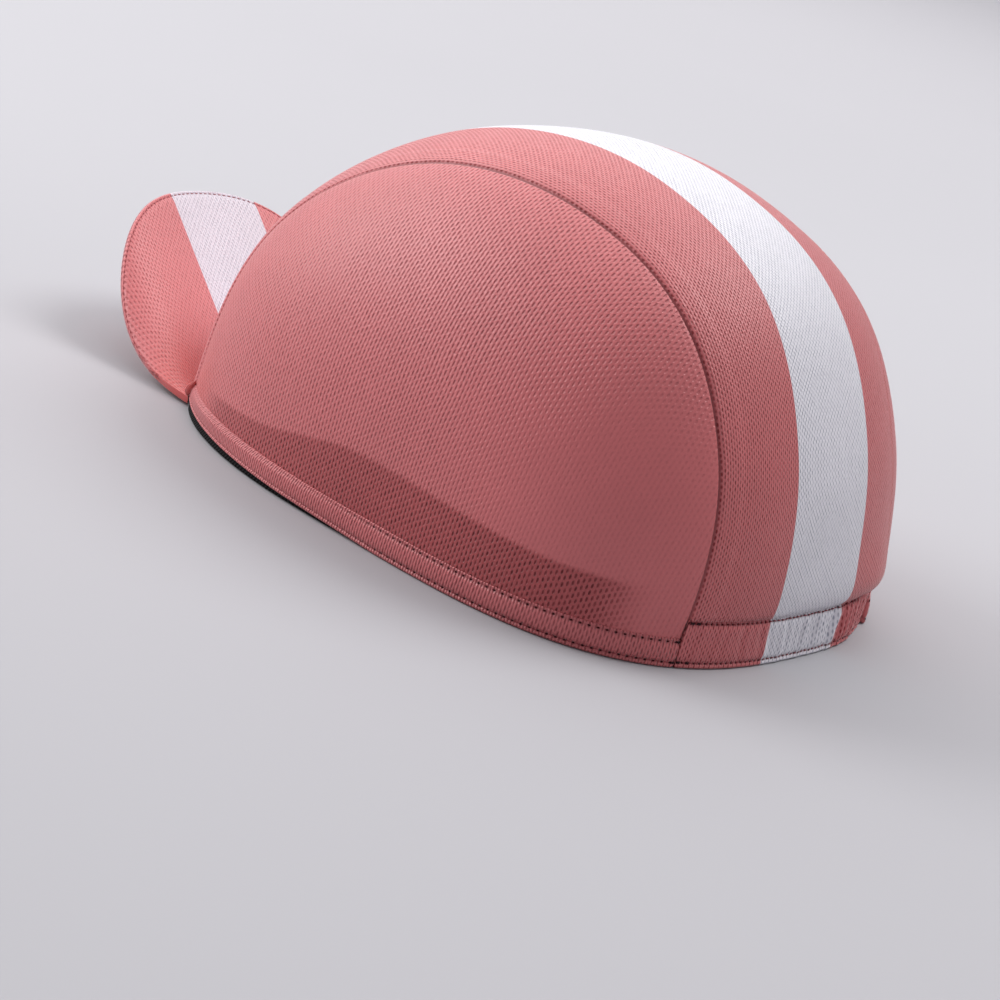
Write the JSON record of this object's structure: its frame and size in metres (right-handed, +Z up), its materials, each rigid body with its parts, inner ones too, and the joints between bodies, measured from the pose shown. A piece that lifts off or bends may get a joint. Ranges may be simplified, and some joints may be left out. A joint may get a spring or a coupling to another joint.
{
  "type": "cycling cap",
  "caption": "Cycling cap with side and centre panels, a turned-up peak, folded side hems, a gathered elastic casing behind and a sweatband inside; worn on the head.",
  "frame": {"origin": "on the floor the cap rests on, below the middle of its overall box, peak included", "axes": "+Z up, the peak towards -Y, the wearer's left at +X"},
  "size_m": [0.155, 0.2466, 0.1071],
  "materials": {
    "panel_knit": "matte salmon pink mesh knit with a printed white stripe",
    "hem_knit": "matte salmon pink knit, folded and stitched twice",
    "casing_knit": "matte salmon pink knit with a white stripe, gathered",
    "peak_knit": "matte salmon pink knit over a firm insert, with a white stripe and a stitched edge",
    "sweatband_knit": "matte black ribbed towelling knit"
  },
  "bodies": {
    "root": {"left_panel": "panel_knit", "right_panel": "panel_knit", "centre_panel": "panel_knit", "left_hem": "hem_knit", "right_hem": "hem_knit", "rear_casing": "casing_knit", "peak": "peak_knit", "sweatband": "sweatband_knit"}
  },
  "joints": []
}
